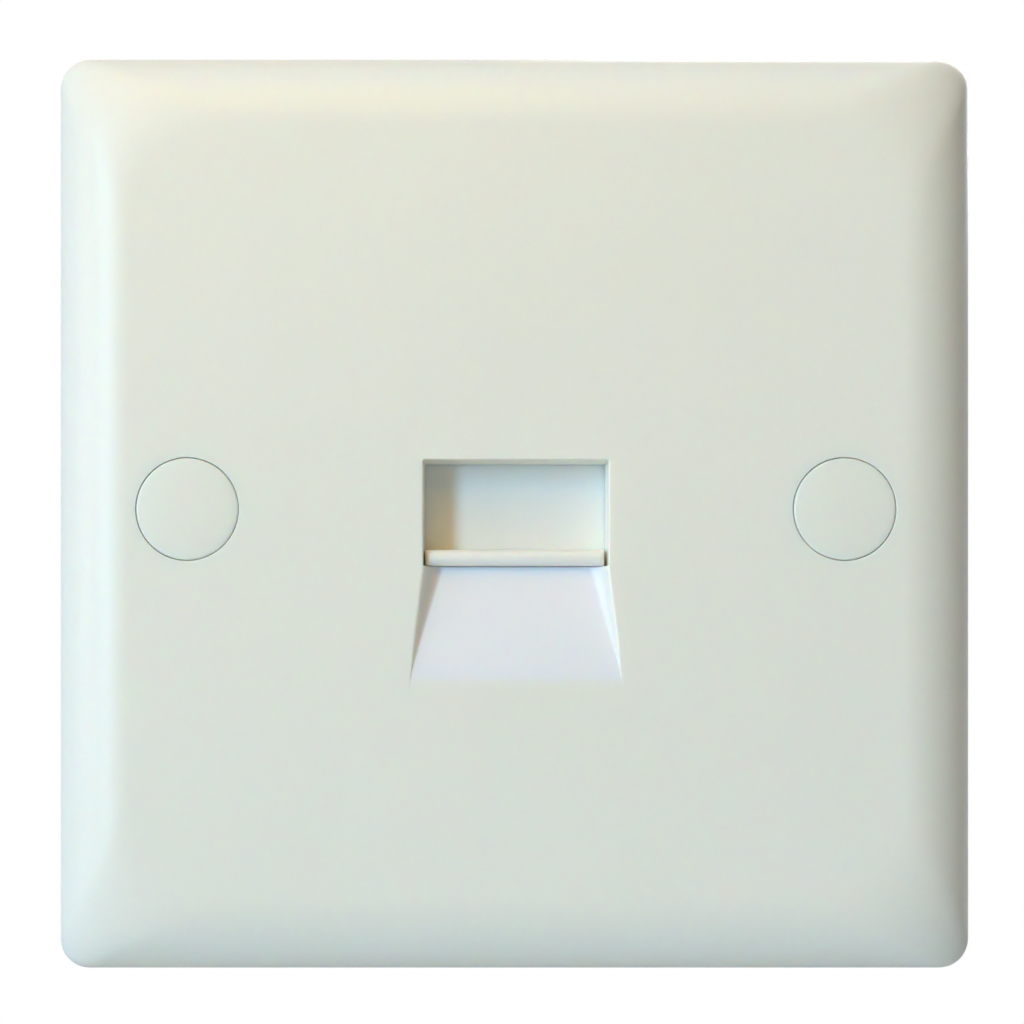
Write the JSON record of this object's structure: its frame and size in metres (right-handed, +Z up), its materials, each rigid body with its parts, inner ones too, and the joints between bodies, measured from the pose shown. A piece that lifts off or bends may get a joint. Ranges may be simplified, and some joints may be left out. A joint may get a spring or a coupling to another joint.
{
  "type": "telephone wall socket",
  "caption": "White moulded telephone extension socket on a square wall plate, with a sprung shutter behind its opening, screw caps, and terminals at the back.",
  "frame": {"origin": "on the wall plane at the back of the plate's rim, midway between the two fixing screws", "axes": "+X to the right as the room sees the plate, +Y into the wall, +Z up"},
  "size_m": [0.086, 0.0294, 0.086],
  "materials": {
    "white_moulding": "smooth moulded gloss",
    "housing_moulding": "moulded satin",
    "plated_steel": "zinc plated",
    "spring_steel": "drawn wire",
    "contact_bronze": "gold flashed",
    "terminal_brass": "tin plated",
    "board_laminate": "glass laminate with solder resist",
    "terminal_moulding": "moulded satin"
  },
  "bodies": {
    "plate": {"faceplate": "white_moulding", "screw_cap_left": "white_moulding", "screw_cap_right": "white_moulding", "fixing_screw_left": "plated_steel", "fixing_screw_right": "plated_steel", "shutter_spring": "spring_steel", "jack_housing": "housing_moulding", "contact_carrier": "housing_moulding", "contact_1": "contact_bronze", "contact_2": "contact_bronze", "contact_3": "contact_bronze", "contact_4": "contact_bronze", "contact_5": "contact_bronze", "contact_6": "contact_bronze", "circuit_board": "board_laminate", "terminal_block_left": "terminal_moulding", "terminal_block_right": "terminal_moulding", "terminal_blade_1": "terminal_brass", "terminal_blade_2": "terminal_brass", "terminal_blade_3": "terminal_brass", "terminal_blade_4": "terminal_brass", "terminal_blade_5": "terminal_brass", "terminal_blade_6": "terminal_brass", "module_screw_upper": "plated_steel", "module_screw_lower": "plated_steel"},
    "shutter": {"shutter": "white_moulding"}
  },
  "joints": [
    {"name": "shutter_slide", "type": "slide", "parent": "plate", "child": "shutter", "axis": [0, 0, 1], "range_m": [0, 0.008], "stiffness_N_per_m": 60, "springref_m": -0.004, "deforming": ["shutter_spring"]}
  ]
}
